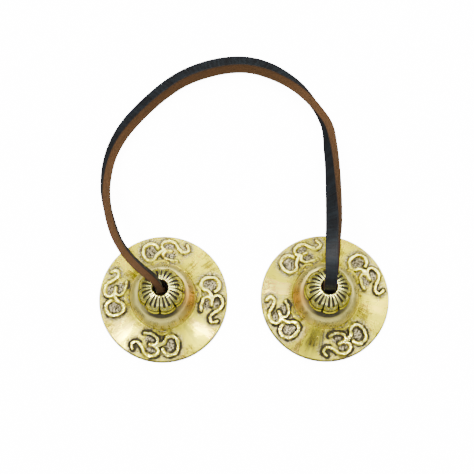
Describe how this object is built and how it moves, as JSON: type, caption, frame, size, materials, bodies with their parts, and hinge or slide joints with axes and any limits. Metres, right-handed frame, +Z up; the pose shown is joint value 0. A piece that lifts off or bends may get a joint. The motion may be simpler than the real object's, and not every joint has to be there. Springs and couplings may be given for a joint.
{
  "type": "hand cymbals",
  "caption": "Pair of small cast brass hand cymbals with domed lotus knobs, joined by a knotted leather strap that lies in a loop behind them.",
  "frame": {"origin": "On the table, midway between the two bells' axes, at the level of their rims.", "axes": "+Z is up out of the knobs, +X runs from the left bell's axis to the right bell's, and +Y points back to the strap's loop."},
  "size_m": [0.1471, 0.1647, 0.0467],
  "materials": {
    "bell_brass": "cast brass, turned and polished, with dark patina in the recesses",
    "strap_leather": "thick leather strip, black grained faces and raw brown cut edges"
  },
  "bodies": {
    "strap_right": {"strap_right_half": "strap_leather"},
    "strap_left": {"strap_left_half": "strap_leather"},
    "left_knot": {"left_knot": "strap_leather"},
    "right_knot": {"right_knot": "strap_leather"},
    "left_bell": {"left_bell": "bell_brass"},
    "right_bell": {"right_bell": "bell_brass"}
  },
  "joints": [
    {"name": "loop_flex", "type": "hinge", "parent": "strap_right", "child": "strap_left", "pos_m": [0, 0.1279, 0.0047], "axis": [0, 0, 1], "range_deg": [-35, 7], "deforming": ["strap_left_half", "strap_right_half"]},
    {"name": "left_bell_tilt", "type": "hinge", "parent": "strap_left", "child": "left_knot", "pos_m": [-0.0409, 0, 0.02765], "axis": [1, 0, 0], "range_deg": [-35, 35], "deforming": ["strap_left_half"]},
    {"name": "right_bell_tilt", "type": "hinge", "parent": "strap_right", "child": "right_knot", "pos_m": [0.0409, 0, 0.02765], "axis": [1, 0, 0], "range_deg": [-35, 35], "deforming": ["strap_right_half"]},
    {"name": "left_bell_spin", "type": "hinge", "parent": "left_knot", "child": "left_bell", "pos_m": [-0.0409, 0, 0], "axis": [0, 0, 1], "continuous": true},
    {"name": "right_bell_spin", "type": "hinge", "parent": "right_knot", "child": "right_bell", "pos_m": [0.0409, 0, 0], "axis": [0, 0, 1], "continuous": true}
  ]
}
